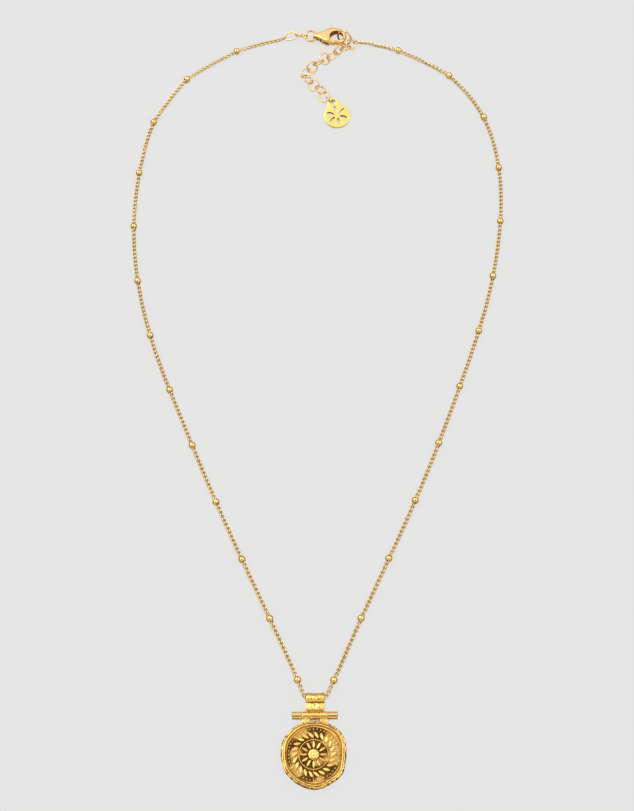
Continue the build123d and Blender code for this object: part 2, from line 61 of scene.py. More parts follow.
# Stage: the floor's tone and glow, the glow that the gold sees, the painted shade on the floor
# in the chain's holes and how far it reaches, the sky's three tones from the horizon up, and the
# dark round the lens in degrees
FLOOR_REACH = 6.0
FLOOR_LEVEL = -0.02 * MM
FLOOR_TONE = 0.06
FLOOR_GLOW = 0.72
FLOOR_SEEN_IN_GOLD = (0.52, 0.42, 0.28)
FLOOR_SHADE_IN_HOLES = (0.20, 0.13, 0.05)
HOLE_REACH = 0.8 * MM
HOLE_CLOSED = 0.25
HOLE_OPEN = 0.5
HORIZON = (0.17, 0.10, 0.045, 1)
LOW_SKY = (0.56, 0.47, 0.35, 1)
LOW_SKY_HEIGHT = 0.16
HIGH_SKY = (1.0, 0.98, 0.94, 1)
HIGH_SKY_HEIGHT = 0.65
BACKDROP = (0.79, 0.79, 0.79, 1)
LENS_SHADE = 14
LENS_SHADE_EDGE = 20
LENS_SHADE_LEFT = 0.03
LENS_SEEN_FROM = (0, -0.0095, 0)

# Chain: the route of the chain's tube, in metres, and the curb links along it
CHAIN_ROUTE = [
    (-0.00945, 0.09900, 0.00086), (-0.01550, 0.09770, 0.00090), (-0.02225, 0.09500, 0.00090),
    (-0.02930, 0.09095, 0.00090), (-0.03585, 0.08610, 0.00090), (-0.04015, 0.07965, 0.00090),
    (-0.04420, 0.07260, 0.00090), (-0.04615, 0.06440, 0.00090), (-0.04800, 0.05020, 0.00090),
    (-0.04770, 0.03410, 0.00090), (-0.04480, 0.01800, 0.00090), (-0.04010, 0.00290, 0.00090),
    (-0.03410, -0.01170, 0.00090), (-0.02800, -0.02660, 0.00090), (-0.02160, -0.04130, 0.00090),
    (-0.01480, -0.05580, 0.00090), (-0.00930, -0.06750, 0.00090), (-0.00580, -0.07510, 0.00090),
    (-0.00385, -0.07970, 0.00095), (-0.00255, -0.08303, 0.00112), (-0.00025, -0.08312, 0.00114),
    (0.00210, -0.08303, 0.00112), (0.00360, -0.07975, 0.00095), (0.00565, -0.07510, 0.00090),
    (0.00910, -0.06720, 0.00090), (0.01425, -0.05600, 0.00090), (0.02095, -0.04180, 0.00090),
    (0.02745, -0.02700, 0.00090), (0.03330, -0.01180, 0.00090), (0.03880, 0.00310, 0.00090),
    (0.04380, 0.01835, 0.00090), (0.04720, 0.03410, 0.00090), (0.04875, 0.05000, 0.00090),
    (0.04780, 0.06250, 0.00090), (0.04580, 0.07095, 0.00090), (0.04185, 0.07935, 0.00090),
    (0.03595, 0.08655, 0.00090), (0.02890, 0.09140, 0.00090), (0.02195, 0.09475, 0.00090),
    (0.01700, 0.09670, 0.00090), (0.01110, 0.09738, 0.00097),
]
LINK_PITCH = 1.115 * MM
LINK_WIRE = 0.36 * MM
LINK_WIDTH = 1.0 * MM
LINK_TWIST = 0.27 * MM
LINK_SQUARENESS = 1.6
LINK_STEPS = 22
WIRE_SIDES = 8
ROUTE_STEPS = 24
# Links lie on the floor, except near a bead and where the route climbs into the bail and rings
BEAD_REACH = 1.6 * MM
RAISED_ROUTE = 0.92 * MM
# INNER_SHADE is the strength of the painted shade on the inner side of each link's wire.
INNER_SHADE = 0.8
FLOOR_GAP = 0.03 * MM
ROLL_JITTER = 2.5
# Turn of the chain about its own line, in degrees, at a distance along it in millimetres
CHAIN_ROLLS = [
    dict(along=0, roll=75), dict(along=6, roll=45), dict(along=28, roll=45),
    dict(along=40, roll=20), dict(along=42, roll=60), dict(along=44, roll=20),
    dict(along=52, roll=20), dict(along=54, roll=60), dict(along=56, roll=25),
    dict(along=70, roll=25), dict(along=73, roll=60), dict(along=76, roll=25),
    dict(along=111, roll=20), dict(along=114, roll=60), dict(along=117, roll=20),
    dict(along=140, roll=5), dict(along=235, roll=0), dict(along=262, roll=-18),
    dict(along=330, roll=-25), dict(along=372, roll=-38), dict(along=398, roll=-35),
    dict(along=402, roll=-75), dict(along=405, roll=-30), dict(along=409, roll=-20),
    dict(along=414, roll=-60), dict(along=424, roll=-70),
]
END_LOOP_RADIUS = 0.55 * MM
END_LOOP_WIRE = 0.3 * MM
END_LOOP_BITE = 0.1 * MM
END_LOOP_STEPS = 24
LEFT_LOOP_HEADING = 15
RIGHT_LOOP_HEADING = 22

# Hinge, in millimetres like all that follows
HINGE_X = -0.33
HINGE_Y = -86.83
HINGE_Z = 1.0
LUG_RADIUS = 0.95
LUG_LENGTH = 1.7
LUG_ROOT = 2.29
LUG_FLARE = 0.35
LUG_PLATE_TOP = 0.5
LUG_PLATE_BOTTOM = -0.85
LUG_STARTS = (-3.23, 0.87)
LUG_BORE = 0.45
LUG_STEPS = 30
BORE_STEPS = 24

# Bail: its tube's axis, and the bosses and groove that the casting has beside the solid
BAIL_AXIS_Y = -82.94
BAIL_AXIS_Z = 1.32
BAIL_SKIN = (0.95, 1.15)
BAIL_KNUCKLE_CLEAR = (1.0, 1.8)
BAIL_LUMP = 0.08
BAIL_FINE_LUMP = 0.025
BAIL_BOSSES = [
    dict(x=-1.75, y=-82.7), dict(x=1.35, y=-82.75), dict(x=-0.3, y=-83.1),
    dict(x=-1.2, y=-85.0), dict(x=0.7, y=-84.9),
]
BAIL_BOSS_HEIGHT = 0.17
BAIL_BOSS_REACH = (0.5, 0.7)
BAIL_GROOVE_Y = -84.05
BAIL_GROOVE_WIDTH = 0.13
BAIL_GROOVE_DEPTH = 0.08
BAIL_LOWEST = 0.02

# Coin: its outline as shares of the radius, one each 15 degrees, and the parts of its relief
COIN_X = -0.58
COIN_Y = -95.77
COIN_RADIUS = 7.6
COIN_OUTLINE = [
    0.975, 1.005, 1.045, 1.05, 1.03, 1.01, 1.0, 1.0, 1.01, 1.005, 1.02, 1.0,
    0.985, 0.98, 0.995, 0.98, 0.985, 1.0, 1.02, 1.015, 0.995, 1.015, 1.025, 0.98,
]
COIN_THICKNESS = 1.95
COIN_FIELD = 1.55
COIN_GRID = 260
RIM_WIDTH = 0.95
RIM_SLOPE = 0.12
RIM_WEAR = 0.05
RIM_ROUND = 0.3
RIM_GROOVE = 0.52
RIM_GROOVE_WIDTH = 0.12
RIM_GROOVE_DEPTH = 0.2
MOAT_STEP = 0.17
MOAT_WIDTH = 0.09
MOAT_DEPTH = 0.06
NICK_DEPTH = 0.12
RELIEF = 0.34
GROUND_DEPTH = 0.12
PIT_SIZE = 0.27
PIT_DEPTH = 0.08
FLUTE_COUNT = 150
FLUTE_INSIDE = 6.1
BOSS_RADIUS = 1.25
BOSS_HEIGHT = 0.75
SEED_GROUND = 0.72
SEED_COUNT = 8
SEED_RINGS = [dict(circle=0.72, size=0.2, lift=1.0), dict(circle=0.0, size=0.28, lift=1.1)]
PETAL_COUNT = 12
PETAL_LENGTH = 1.5
PETAL_WIDTH = 0.62
PETAL_START = 1.5
ROPE_RADIUS = 3.35
ROPE_WIDTH = 0.26
ROPE_TURNS = 56
LEAF_COUNT = 22
LEAF_LENGTH = 1.7
LEAF_WIDTH = 0.8
LEAF_SLANT = radians(38)
LEAF_CENTRE = 4.466
DOT_COUNT = 44
DOT_RADIUS = 0.2
DOT_CIRCLE = 5.75
DOT_HEIGHT = 0.85
# Rough wall of the coin from its top down: share of the height, and step in from the outline
COIN_WALL = [
    dict(level=0.86, inward=0.0), dict(level=0.72, inward=0.03), dict(level=0.58, inward=0.12),
    dict(level=0.44, inward=0.1), dict(level=0.30, inward=0.0), dict(level=0.18, inward=0.02),
    dict(level=0.07, inward=0.07), dict(level=0.0, inward=0.2),
]
WALL_ROUGH = 0.11
WALL_FINE_ROUGH = 0.05
WALL_HOLLOW = 0.09

# Clasp and tag: where painted shade darkens the walls of their openings
CLASP_TAIL = (-0.854, 99.146)
CLASP_ANGLE = radians(-5.5)
CLASP_HEIGHT = 1.45
CLASP_OPENING = (6.45, 0.25)
CLASP_OPENING_HALF = (1.85, 1.45)
CLASP_SLOT = 1.0
TAG_RADIUS = 3.5
TAG_EYE_STEP = (-1.05, 3.85)
TAG_EYE_RADIUS = 0.75
TAG_EDGE = 0.35
TAG_EYE_REACH = 0.25

# Casting and polishing: grid of the softened solid and rounds of smoothing
WELD = 0.0005
BAIL_SOFTNESS = (0.07, 5)
LUG_SOFTNESS = (0.08, 3)
CLASP_SOFTNESS = (0.05, 14)
LEVER_SOFTNESS = (0.05, 5)
TAG_SOFTNESS = (0.05, 4)

SEED = 7


def add_node(tree, kind, inputs=(), **settings):
    """One shader node; an input is a value or the socket that feeds it."""
    made = tree.nodes.new(kind)
    for key, value in settings.items():
        setattr(made, key, value)
    for socket, value in dict(inputs).items():
        if isinstance(value, bpy.types.NodeSocket):
            tree.links.new(value, made.inputs[socket])
        else:
            made.inputs[socket].default_value = value
    return made


def gold(name, bright, deep, roughness, cloud=2.5, grain=0.12, grain_height=0.004,
         stretch=(1, 1, 1), patina_and_shade=None):
    """Gold whose tone and polish drift, with a fine grain; sizes in millimetres."""
    material = bpy.data.materials.new(name)
    material.use_nodes = True
    tree = material.node_tree
    tree.nodes.clear()
    place = add_node(tree, "ShaderNodeTexCoord").outputs["Object"]
    clouds = add_node(
        tree, "ShaderNodeTexNoise",
        {"Vector": place, "Scale": 1 / (cloud * MM), "Detail": 3.0, "Roughness": 0.6},
    ).outputs["Fac"]
    tone = add_node(
        tree, "ShaderNodeMapRange",
        {"Value": clouds, "From Min": 0.3, "From Max": 0.7, "To Min": 0.0, "To Max": 1.0},
    ).outputs["Result"]
    colour = add_node(
        tree, "ShaderNodeMix",
        {0: tone, 6: (*deep, 1), 7: (*bright, 1)},
        data_type="RGBA",
    )
    base = colour.outputs[2]
    shine = add_node(
        tree, "ShaderNodeMapRange",
        {"Value": clouds, "From Min": 0.25, "From Max": 0.75,
         "To Min": roughness * 0.75, "To Max": roughness * 1.3},
    ).outputs["Result"]
    # Where the hollow attribute is high, the colour is mixed towards this dark colour and the
    # polish is dulled. On the cast bail and coin this is real patina; on the chain, clasp and tag
    # it is painted shade.
    if patina_and_shade:
        hollow = add_node(
            tree, "ShaderNodeAttribute", attribute_name="hollow",
        ).outputs["Fac"]
        base = add_node(
            tree, "ShaderNodeMix", {0: hollow, 6: base, 7: (*patina_and_shade, 1)}, data_type="RGBA",
        ).outputs[2]
        shine = add_node(
            tree, "ShaderNodeMath", {0: shine, 1: hollow}, operation="MAXIMUM",
        ).outputs[0]
    stretched = add_node(
        tree, "ShaderNodeMapping", {"Vector": place, "Scale": stretch},
    ).outputs["Vector"]
    fine = add_node(
        tree, "ShaderNodeTexNoise",
        {"Vector": stretched, "Scale": 1 / (grain * MM), "Detail": 4.0, "Roughness": 0.65},
    ).outputs["Fac"]
    bump = add_node(
        tree, "ShaderNodeBump",
        {"Height": fine, "Strength": 1.0, "Distance": grain_height * MM},
    ).outputs["Normal"]
    shader = add_node(
        tree, "ShaderNodeBsdfPrincipled",
        {"Base Color": base, "Metallic": 1.0, "Roughness": shine, "Normal": bump},
    )
    output = add_node(tree, "ShaderNodeOutputMaterial")
    tree.links.new(shader.outputs["BSDF"], output.inputs["Surface"])
    return material


GOLD = {
    # The chain's dark colour below is painted shade on the inner sides of the links.
    "gold_chain": gold("gold_chain", (0.97, 0.79, 0.46), (0.90, 0.68, 0.34), 0.15,
                       patina_and_shade=(0.24, 0.14, 0.045)),
    "gold_bead": gold("gold_bead", (0.93, 0.68, 0.27), (0.84, 0.55, 0.17), 0.16),
    "gold_wire": gold("gold_wire", (0.94, 0.65, 0.29), (0.85, 0.53, 0.19), 0.16, cloud=4),
    # The clasp's dark colour below is painted shade on the walls of the hook's opening and the
    # lever's slot.
    "gold_clasp": gold("gold_clasp", (0.96, 0.68, 0.30), (0.91, 0.60, 0.23), 0.18, cloud=6,
                       grain=0.3, grain_height=0.0006, patina_and_shade=(0.30, 0.11, 0.03)),
    "gold_pin": gold("gold_pin", (0.98, 0.74, 0.32), (0.94, 0.66, 0.25), 0.06,
                     grain=0.5, grain_height=0.001, stretch=(0.05, 1, 1)),
    # The tag's dark colour below is painted shade on the walls of its piercing and its eye.
    "gold_tag": gold("gold_tag", (0.98, 0.86, 0.28), (0.95, 0.78, 0.22), 0.18, cloud=6,
                     grain_height=0.002, patina_and_shade=(0.26, 0.11, 0.02)),
    "gold_cast": gold("gold_cast", (0.98, 0.70, 0.24), (0.90, 0.56, 0.15), 0.25,
                      cloud=1.2, grain=0.16, grain_height=0.004,
                      patina_and_shade=(0.10, 0.035, 0.006)),
}


def dress(obj, slot):
    obj.data.materials.clear()
    obj.data.materials.append(GOLD[slot])


def new_piece(name, mesh, slot, body, *replaced):
    """Link a finished mesh as a piece that stands for CAD nodes and rides on a body."""
    mesh.shade_smooth()
    obj = bpy.data.objects.new(name, mesh)
    bpy.context.scene.collection.objects.link(obj)
    dress(obj, slot)
    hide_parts(*replaced)
    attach(obj, body)
    return obj


def noise_at(points, size, shift=0.0):
    """Smooth noise from -1 to 1 at each point, with features of about that size."""
    offset = Vector((shift, shift * 1.7, shift * 0.3))
    return np.array([noise.noise(Vector(p) / size + offset) for p in points])


def tube_faces(around, sides, first=0, closed=True):
    """Quads of a tube whose rings of vertices follow one another."""
    faces = []
    for i in range(around if closed else around - 1):
        for j in range(sides):
            here, there = first + i * sides, first + (i + 1) % around * sides
            faces.append((here + j, there + j, there + (j + 1) % sides, here + (j + 1) % sides))
    return faces


def tube_points(line, wire, sides):
    """Vertices of round wire along a closed line of points."""
    ahead = np.roll(line, -1, 0) - np.roll(line, 1, 0)
    ahead /= np.linalg.norm(ahead, axis=1)[:, None]
    out = line - line.mean(0)
    out -= (out * ahead).sum(1)[:, None] * ahead
    out /= np.linalg.norm(out, axis=1)[:, None]
    side = np.cross(ahead, out)
    rings = []
    for j in range(sides):
        a = tau * j / sides
        rings.append(line + wire / 2 * (cos(a) * out + sin(a) * side))
    return np.stack(rings, 1).reshape(-1, 3)


# Chain

def route_points():
    """Points of the chain's line, read from its NURBS spline."""
    curve = bpy.data.curves.new("chain_route", "CURVE")
    curve.dimensions = "3D"
    spline = curve.splines.new("NURBS")
    spline.points.add(len(CHAIN_ROUTE) - 1)
    for point, place in zip(spline.points, CHAIN_ROUTE):
        point.co = (*place, 1)
    spline.order_u = 3
    spline.use_endpoint_u = True
    spline.resolution_u = ROUTE_STEPS
    obj = bpy.data.objects.new("chain_route", curve)
    bpy.context.scene.collection.objects.link(obj)
    line = bpy.data.meshes.new_from_object(obj)
    points = np.array([v.co[:] for v in line.vertices])
    bpy.data.objects.remove(obj)
    bpy.data.meshes.remove(line)
    return points


def link_line():
    """Centre line of one curb link: an oval twisted so that its ends cross their neighbours."""
    t = np.linspace(0, tau, LINK_STEPS, endpoint=False)
    length = LINK_PITCH + LINK_WIRE
    width = LINK_WIDTH - LINK_WIRE
    straight = np.clip(LINK_SQUARENESS * np.cos(t), -1, 1) * (length - width) / 2
    return np.stack(
        [straight + np.cos(t) * width / 2, np.sin(t) * width / 2, np.sin(2 * t) * LINK_TWIST], 1,
    )


def end_loop(tip, outward, heading):
    """Small upright loop at an end of the chain."""
    level = Vector((outward[0], outward[1], 0)).normalized()
    way = Vector((cos(radians(heading)), sin(radians(heading)), 0))
    depth = END_LOOP_RADIUS * abs(way.dot(level))
    centre = Vector(tip) + level * (depth + END_LOOP_WIRE / 2 - END_LOOP_BITE)
    turns = [tau * i / END_LOOP_STEPS for i in range(END_LOOP_STEPS)]
    line = [centre + (way * cos(a) + Vector((0, 0, sin(a)))) * END_LOOP_RADIUS for a in turns]
    return tube_points(np.array(line), END_LOOP_WIRE, WIRE_SIDES)


def make_chain():
    points = route_points()
    steps = np.linalg.norm(np.diff(points, axis=0), axis=1)
    along = np.concatenate([[0], np.cumsum(steps)])
    total = along[-1]

    def place_at(distance):
        return np.stack([np.interp(distance, along, points[:, k]) for k in range(3)], -1)

    beads = []
    for name in sorted(n for n in nodes if n.startswith("bead_")):
        bead_low, bead_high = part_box(name)
        centre = np.array((bead_low + bead_high) / 2)
        beads.append(along[np.linalg.norm(points - centre, axis=1).argmin()])
    beads = np.array(beads)
    count = round(total / LINK_PITCH)
    pitch = total / count
    centres = (np.arange(count) + 0.5) * pitch
    rolls = np.radians(np.interp(
        centres / MM, [row["along"] for row in CHAIN_ROLLS], [row["roll"] for row in CHAIN_ROLLS],
    ))
    rng = np.random.default_rng(SEED)
    rolls += np.radians(ROLL_JITTER) * rng.standard_normal(count)
    shape = tube_points(link_line(), LINK_WIRE, WIRE_SIDES)
    verts, faces = [], []
    places = place_at(centres)
    for number, (distance, place, roll) in enumerate(zip(centres, places, rolls)):
        ahead = place_at(distance + pitch / 2) - place_at(distance - pitch / 2)
        ahead = Vector(ahead).normalized()
        across = Vector((0, 0, 1)).cross(ahead).normalized()
        across = Matrix.Rotation(roll, 3, ahead) @ across
        up = ahead.cross(across)
        turned = shape @ np.array([ahead, across, up])
        rest = FLOOR_GAP - turned[:, 2].min()
        held = np.exp(-((np.abs(beads - distance).min() / BEAD_REACH) ** 2))
        if place[2] > RAISED_ROUTE:
            held = 1.0
        drop = (place[2] - rest) * (1 - held)
        centre = place - np.array([0, 0, max(drop, 0)])
        verts.append(centre + turned)
        faces += tube_faces(LINK_STEPS, WIRE_SIDES, number * len(shape))
    for tip, before, heading in (
        (points[0], points[1], LEFT_LOOP_HEADING),
        (points[-1], points[-2], RIGHT_LOOP_HEADING),
    ):
        first = sum(len(v) for v in verts)
        verts.append(end_loop(tip, tip - before, heading))
        faces += tube_faces(END_LOOP_STEPS, WIRE_SIDES, first)
    mesh = bpy.data.meshes.new("chain_links")
    mesh.from_pydata(np.concatenate(verts).tolist(), [], faces)
    # Painted shade: the inner side of each link's wire, facing the links it crosses, is marked
    # for darkening.
    inner = np.array([max(-cos(tau * j / WIRE_SIDES), 0) for j in range(WIRE_SIDES)])
    set_hollow(mesh, INNER_SHADE * np.resize(inner, len(mesh.vertices)))
    return new_piece("chain_links", mesh, "gold_chain", "necklace", "chain")


# Cast and polished bodies, softened from their solids

def softened(name, source, softness):
    """Mesh in millimetres of a closed shape with its edges rounded off."""
    voxel, rounds = softness
    obj = bpy.data.objects.new(name, source)
    bpy.context.scene.collection.objects.link(obj)
    voxels = obj.modifiers.new("voxels", "REMESH")
    voxels.mode = "VOXEL"
    voxels.voxel_size = voxel
    smooth = obj.modifiers.new("smooth", "SMOOTH")
    smooth.factor = 0.5
    smooth.iterations = rounds
    graph = bpy.context.evaluated_depsgraph_get()
    mesh = bpy.data.meshes.new_from_object(obj.evaluated_get(graph))
    bpy.data.objects.remove(obj)
    return mesh


def node_mesh(node):
    """Welded copy of a CAD node's mesh, in millimetres."""
    mesh = nodes[node].data.copy()
    mesh.transform(Matrix.Scale(1 / MM, 4))
    weld = bmesh.new()
    weld.from_mesh(mesh)
    bmesh.ops.remove_doubles(weld, verts=weld.verts, dist=WELD)
    weld.to_mesh(mesh)
    weld.free()
    return mesh


def read_points(mesh):
    co = np.empty(len(mesh.vertices) * 3, np.float32)
    mesh.vertices.foreach_get("co", co)
    return co.reshape(-1, 3).astype(float)


def read_normals(mesh):
    normal = np.empty(len(mesh.vertices) * 3, np.float32)
    mesh.vertices.foreach_get("normal", normal)
    return normal.reshape(-1, 3).astype(float)


def write_points(mesh, points):
    mesh.vertices.foreach_set("co", points.astype(np.float32).ravel())
    mesh.update()


def set_hollow(mesh, values):
    """How far each vertex lies in a hollow, 0 to 1, for the patina on the cast pieces and for the
    painted shade on the chain, clasp and tag.
    """
    layer = mesh.attributes.new("hollow", "FLOAT", "POINT")
    layer.data.foreach_set("value", np.clip(values, 0, 1).astype(np.float32))


def smooth_step(value, low, high):
    t = np.clip((value - low) / (high - low), 0, 1)
    return t * t * (3 - 2 * t)


def bell(distance, reach):
    """Bell curve, 1 in its middle."""
    return np.exp(-((distance / reach) ** 2))


def make_bail():
    """The bail's solid, softened and lumped, but plain in its bore and at its knuckle."""
    mesh = softened("bail_cast", node_mesh("bail"), BAIL_SOFTNESS)
    points, normals = read_points(mesh), read_normals(mesh)
    free = smooth_step(points[:, 1] - HINGE_Y, *BAIL_KNUCKLE_CLEAR)
    from_axis = np.hypot(points[:, 1] - BAIL_AXIS_Y, points[:, 2] - BAIL_AXIS_Z)
    outside = smooth_step(from_axis, *BAIL_SKIN)
    lumps = BAIL_LUMP * noise_at(points, 0.9, 3) + BAIL_FINE_LUMP * noise_at(points, 0.35, 11)
    reach_x, reach_y = BAIL_BOSS_REACH
    bosses = BAIL_BOSS_HEIGHT * sum(
        bell(points[:, 0] - boss["x"], reach_x) * bell(points[:, 1] - boss["y"], reach_y)
        for boss in BAIL_BOSSES
    )
    groove = bell(points[:, 1] - BAIL_GROOVE_Y, BAIL_GROOVE_WIDTH)
    shift = (lumps + bosses - BAIL_GROOVE_DEPTH * groove) * free * outside
    points += normals * shift[:, None]
    points[:, 2] = np.maximum(points[:, 2], BAIL_LOWEST)
    write_points(mesh, points)
    broken = 0.75 + 0.8 * noise_at(points, 0.7, 17)
    set_hollow(mesh, (0.6 * smooth_step(-lumps, 0.05, 0.12) + groove * broken) * free)
    mesh.transform(Matrix.Scale(MM, 4))
    return new_piece("bail_cast", mesh, "gold_cast", "necklace", "bail")


def lug_mesh(start):
    """One outer lug of the hinge, bored for the pin, with its root in the coin's rim."""
    outer = []
    last = pi - asin(LUG_PLATE_TOP / LUG_RADIUS)
    for i in range(LUG_STEPS + 1):
        a = -pi / 2 + (last + pi / 2) * i / LUG_STEPS
        outer.append((HINGE_Y + LUG_RADIUS * cos(a), HINGE_Z + LUG_RADIUS * sin(a)))
    outer.append((HINGE_Y - LUG_ROOT, HINGE_Z + LUG_PLATE_TOP))
    outer.append((HINGE_Y - LUG_ROOT, HINGE_Z + LUG_PLATE_BOTTOM))
    turns = [tau * i / BORE_STEPS for i in range(BORE_STEPS)]
    inner = [(HINGE_Y + LUG_BORE * cos(a), HINGE_Z + LUG_BORE * sin(a)) for a in turns]
    work = bmesh.new()
    for loop in (outer, inner):
        verts = [work.verts.new((start, y, z)) for y, z in loop]
        for a, b in zip(verts, verts[1:] + verts[:1]):
            work.edges.new((a, b))
    bmesh.ops.triangle_fill(work, use_beauty=True, edges=work.edges[:])
    made = bmesh.ops.extrude_face_region(work, geom=work.faces[:])
    moved = [v for v in made["geom"] if isinstance(v, bmesh.types.BMVert)]
    bmesh.ops.translate(work, verts=moved, vec=(LUG_LENGTH, 0, 0))
    bmesh.ops.recalc_face_normals(work, faces=work.faces[:])
    mesh = bpy.data.meshes.new("lug")
    work.to_mesh(mesh)
    work.free()
    mesh = softened("lug", mesh, LUG_SOFTNESS)
    points = read_points(mesh)
    middle = start + LUG_LENGTH / 2
    side = 1 if middle > HINGE_X else -1
    flare = smooth_step(-points[:, 1], LUG_RADIUS - HINGE_Y, LUG_ROOT - HINGE_Y)
    outward = np.clip((points[:, 0] - middle) * side / LUG_LENGTH + 0.5, 0, 1)
    points[:, 0] += side * LUG_FLARE * flare * outward
    write_points(mesh, points)
    return mesh


def coin_reach(angle):
    """Radius of the hand-cut outline at an angle, through its table of shares."""
    shares = np.array(COIN_OUTLINE)
    count = len(shares)
    step = (angle % tau) / tau * count
    i = np.floor(step).astype(int)
    f = step - i
    a, b, c, d = (shares[(i + k) % count] for k in (-1, 0, 1, 2))
    value = b + f * (c - a) / 2 + f**2 * (a - 2.5 * b + 2 * c - d / 2)
    value += f**3 * (-a / 2 + 1.5 * b - 1.5 * c + d / 2)
    return COIN_RADIUS * value


def dome(distance, radius, power=0.5):
    return np.clip(1 - (distance / radius) ** 2, 0, None) ** power


def around(angle, count):
    """Angle from the nearest of count equal directions."""
    sector = tau / count
    return (angle + sector / 2) % sector - sector / 2


def leaf(x, y, length, width):
    """Height of a pointed leaf with a midrib, 0 to 1, in its own axes."""
    half = width / 2 * np.clip(1 - (2 * x / length) ** 2, 0, None) ** 0.8 + 1e-6
    body = np.clip(1 - (y / half) ** 2, 0, None) ** 0.55
    rib = bell(y, 0.05) * (np.abs(x) < length / 2)
    veins = 0.5 + 0.5 * np.cos((x - 0.7 * np.abs(y)) * tau / 0.3)
    return body * (0.92 - 0.12 * veins) - 0.28 * rib * (body > 0)


def relief_height(x, y):
    """Height of the generic rosette, rope, wreath and border over the field, 0 to 1."""
    r, angle = np.hypot(x, y), np.arctan2(y, x)
    height = np.zeros_like(r)
    # boss with a ring of seeds
    height = np.maximum(height, BOSS_HEIGHT * dome(r, BOSS_RADIUS, 0.4))
    side = around(angle, SEED_COUNT)
    for ring in SEED_RINGS:
        away = np.hypot(r * np.cos(side) - ring["circle"], r * np.sin(side))
        seed = SEED_GROUND + (ring["lift"] - SEED_GROUND) * dome(away, ring["size"])
        height = np.maximum(height, (away < ring["size"]) * seed)
    # petals
    side = around(angle, PETAL_COUNT)
    px = r * np.cos(side) - PETAL_START - PETAL_LENGTH / 2
    py = r * np.sin(side)
    bulge = PETAL_WIDTH / 2 * np.clip(1 - np.abs(2 * px / PETAL_LENGTH) ** 3, 0, None) ** 0.5
    petal = np.clip(1 - (py / (bulge + 1e-6)) ** 2, 0, None) ** 0.5
    petal *= 0.95 - 0.3 * bell(py, 0.06)
    height = np.maximum(height, petal)
    # twisted rope
    rope = dome(r - ROPE_RADIUS, ROPE_WIDTH / 2)
    strand = np.sin(ROPE_TURNS * angle + (r - ROPE_RADIUS) * 14)
    height = np.maximum(height, rope * (0.75 + 0.2 * strand))
    # leaves
    side = around(angle, LEAF_COUNT)
    lx, ly = r * np.cos(side) - LEAF_CENTRE, r * np.sin(side)
    c, s = cos(LEAF_SLANT), sin(LEAF_SLANT)
    height = np.maximum(height, leaf(lx * c + ly * s, ly * c - lx * s, LEAF_LENGTH, LEAF_WIDTH))
    # border of dots and of fine flutes
    side = around(angle, DOT_COUNT)
    away = np.hypot(r * np.cos(side) - DOT_CIRCLE, r * np.sin(side))
    height = np.maximum(height, DOT_HEIGHT * dome(away, DOT_RADIUS))
    flutes = smooth_step(r, FLUTE_INSIDE, FLUTE_INSIDE + 0.12)
    height = np.maximum(height, flutes * (0.45 + 0.3 * np.cos(FLUTE_COUNT * angle)))
    return height


def stipple(points, size):
    """Punched pits, 0 to 1, at each point."""
    pits = np.empty(len(points))
    for i, p in enumerate(points):
        pits[i] = noise.voronoi(Vector((p[0], p[1], 0)) / size)[0][0]
    return np.clip(1 - (pits / 0.55) ** 2, 0, None)


def disc_grid(count):
    """Even grid of a unit disc, row by row (a square mapped to circles)."""
    u, v = np.meshgrid(np.linspace(-1, 1, count + 1), np.linspace(-1, 1, count + 1))
    wide = np.abs(u) > np.abs(v)
    radius = np.where(wide, u, v)
    safe_u, safe_v = np.where(u == 0, 1e-9, u), np.where(v == 0, 1e-9, v)
    turn = np.where(wide, pi / 4 * v / safe_u, pi / 2 - pi / 4 * u / safe_v)
    return (radius * np.cos(turn)).ravel(), (radius * np.sin(turn)).ravel()


